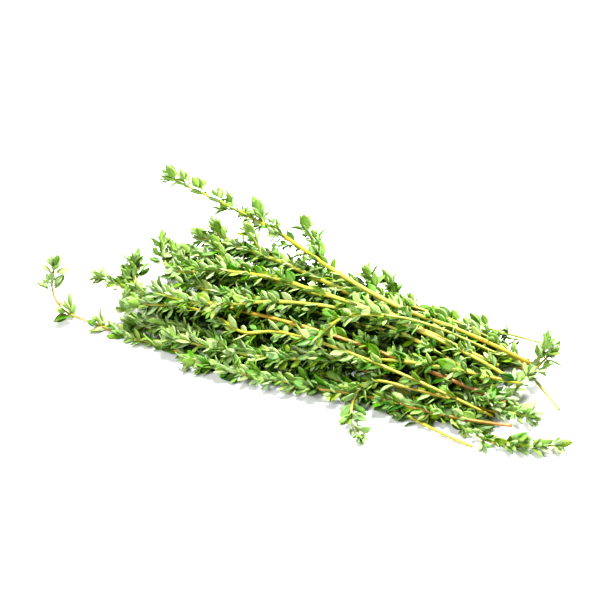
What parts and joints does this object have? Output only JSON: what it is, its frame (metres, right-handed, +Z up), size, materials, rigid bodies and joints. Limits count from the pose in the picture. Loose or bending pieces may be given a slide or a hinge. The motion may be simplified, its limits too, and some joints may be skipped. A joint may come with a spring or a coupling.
{
  "type": "thyme bundle",
  "caption": "Loose bunch of cut fresh thyme sprigs lying on a surface, with square stems and opposite pairs of small oval leaves; cut ends at one side, leafy tips at the other.",
  "frame": {"origin": "centre of the bounding box in X and Y, on the surface that the bundle lies on", "axes": "+X along the bundle towards the cut ends, -X towards the leafy tips, -Y towards the side that the picture is taken from, +Z up"},
  "size_m": [0.1832, 0.0744, 0.0362],
  "materials": {
    "leaf": null,
    "stem": "fresh square stem, smooth, yellow green near the tip and orange to red brown near the cut end"
  },
  "bodies": {
    "root": {"sprig_tall": "leaf", "sprig_upper": "leaf", "sprig_upper_low": "leaf", "sprig_ridge": "leaf", "sprig_bent": "leaf", "sprig_back_butt": "leaf", "sprig_middle": "leaf", "sprig_crossing": "leaf", "sprig_orange": "leaf", "sprig_yellow": "leaf", "sprig_right": "leaf", "sprig_trailing": "leaf", "sprig_front_edge": "leaf", "sprig_front_butt": "leaf", "sprig_hooked": "leaf", "sprig_reversed": "leaf", "sprig_reversed_high": "leaf", "sprig_reversed_low": "leaf", "sprig_left": "leaf", "sprig_left_upright": "leaf", "sprig_left_low": "leaf", "sprig_left_high": "leaf", "sprig_left_back": "leaf", "sprig_01": "leaf", "sprig_02": "leaf", "sprig_03": "leaf", "sprig_04": "leaf", "sprig_05": "leaf", "sprig_06": "leaf", "sprig_07": "leaf", "sprig_08": "leaf", "sprig_09": "leaf", "sprig_10": "leaf"}
  },
  "joints": []
}
